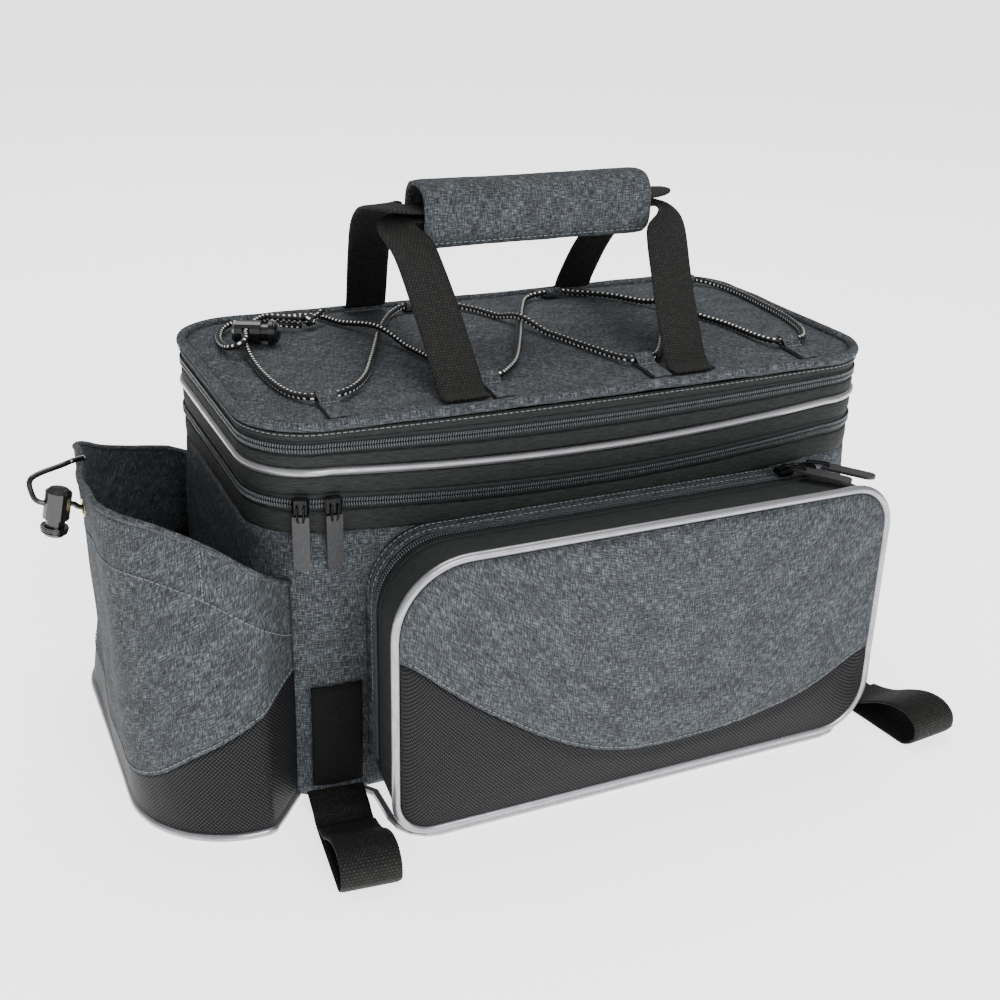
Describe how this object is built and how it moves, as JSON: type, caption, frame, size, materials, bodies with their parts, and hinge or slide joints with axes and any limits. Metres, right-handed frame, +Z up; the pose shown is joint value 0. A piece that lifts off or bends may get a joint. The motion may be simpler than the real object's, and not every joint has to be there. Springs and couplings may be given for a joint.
{
  "type": "bicycle rack bag",
  "caption": "Soft box-shaped rack bag with a zipped expanding lid, a front pocket, an end pouch, a padded carrying handle and elastic lacing on the lid.",
  "frame": {"origin": "middle of the main compartment's flat underside, on the surface that the bag stands on", "axes": "+Z up, +X along the bag's length towards the end without a pouch, -Y towards the front pocket"},
  "size_m": [0.4737, 0.2979, 0.3025],
  "materials": {
    "heather_cloth": "slate grey heather polyester, matte",
    "dobby_nylon": "black dobby nylon with a fine dot weave",
    "band_cloth": "black ribbed tape, matte",
    "zip_tape": "black woven zip tape with a coil",
    "silver_piping": "silver grey glossy piping",
    "black_webbing": "coarse black webbing",
    "elastic_cord": "black elastic cord with white flecks",
    "lock_plastic": "black glossy moulded plastic",
    "black_nickel": "black nickel plating",
    "tag_rubber": "dark grey moulded rubber",
    "hook_tape": "black hook-and-loop tape, matte",
    "eyelet_metal": "pale polished brass"
  },
  "bodies": {
    "bag": {"body_tub": "heather_cloth", "base_piping": "silver_piping", "hook_patch": "hook_tape", "band_lower": "band_cloth", "lower_zip": "zip_tape", "band_middle": "band_cloth", "band_piping": "silver_piping", "band_upper": "band_cloth", "upper_zip": "zip_tape", "band_top": "band_cloth", "lid_binding": "heather_cloth", "lid_panel": "heather_cloth", "cord_tab_front_1": "heather_cloth", "cord_tab_front_2": "heather_cloth", "cord_tab_front_3": "heather_cloth", "cord_tab_front_4": "heather_cloth", "cord_tab_back_1": "heather_cloth", "cord_tab_back_2": "heather_cloth", "cord_tab_back_3": "heather_cloth", "cord_tab_back_4": "heather_cloth", "lid_cord": "elastic_cord", "cord_knot": "elastic_cord", "lid_lock_barrel": "lock_plastic", "pocket_gusset_rear": "heather_cloth", "pocket_zip": "zip_tape", "pocket_gusset_front": "band_cloth", "pocket_piping": "silver_piping", "pocket_panel_upper": "heather_cloth", "pocket_panel_lower": "dobby_nylon", "pouch_panel_upper": "heather_cloth", "pouch_panel_lower": "dobby_nylon", "pouch_base": "dobby_nylon", "pouch_piping": "silver_piping", "pouch_eyelet": "eyelet_metal", "pouch_drawcord": "elastic_cord", "pouch_lock_barrel": "lock_plastic", "handle_strap_front": "black_webbing", "handle_strap_back": "black_webbing", "handle_grip": "heather_cloth", "main_slider_1": "black_nickel", "main_slider_2": "black_nickel", "main_tag_1": "tag_rubber", "main_tag_2": "tag_rubber", "pocket_slider_1": "black_nickel", "pocket_slider_2": "black_nickel", "pocket_tag_1": "tag_rubber", "pocket_tag_2": "tag_rubber", "rack_strap_left": "black_webbing", "rack_strap_right": "black_webbing"},
    "lid_button": {"lid_lock_button": "lock_plastic"},
    "pouch_button": {"pouch_lock_button": "lock_plastic"}
  },
  "joints": [
    {"name": "lid_lock_press", "type": "slide", "parent": "bag", "child": "lid_button", "axis": [-0.9063, 0.4226, 0], "range_m": [0, 0.004], "stiffness_N_per_m": 300},
    {"name": "pouch_lock_press", "type": "slide", "parent": "bag", "child": "pouch_button", "axis": [0.2079, 0, 0.9781], "range_m": [0, 0.004], "stiffness_N_per_m": 300}
  ]
}
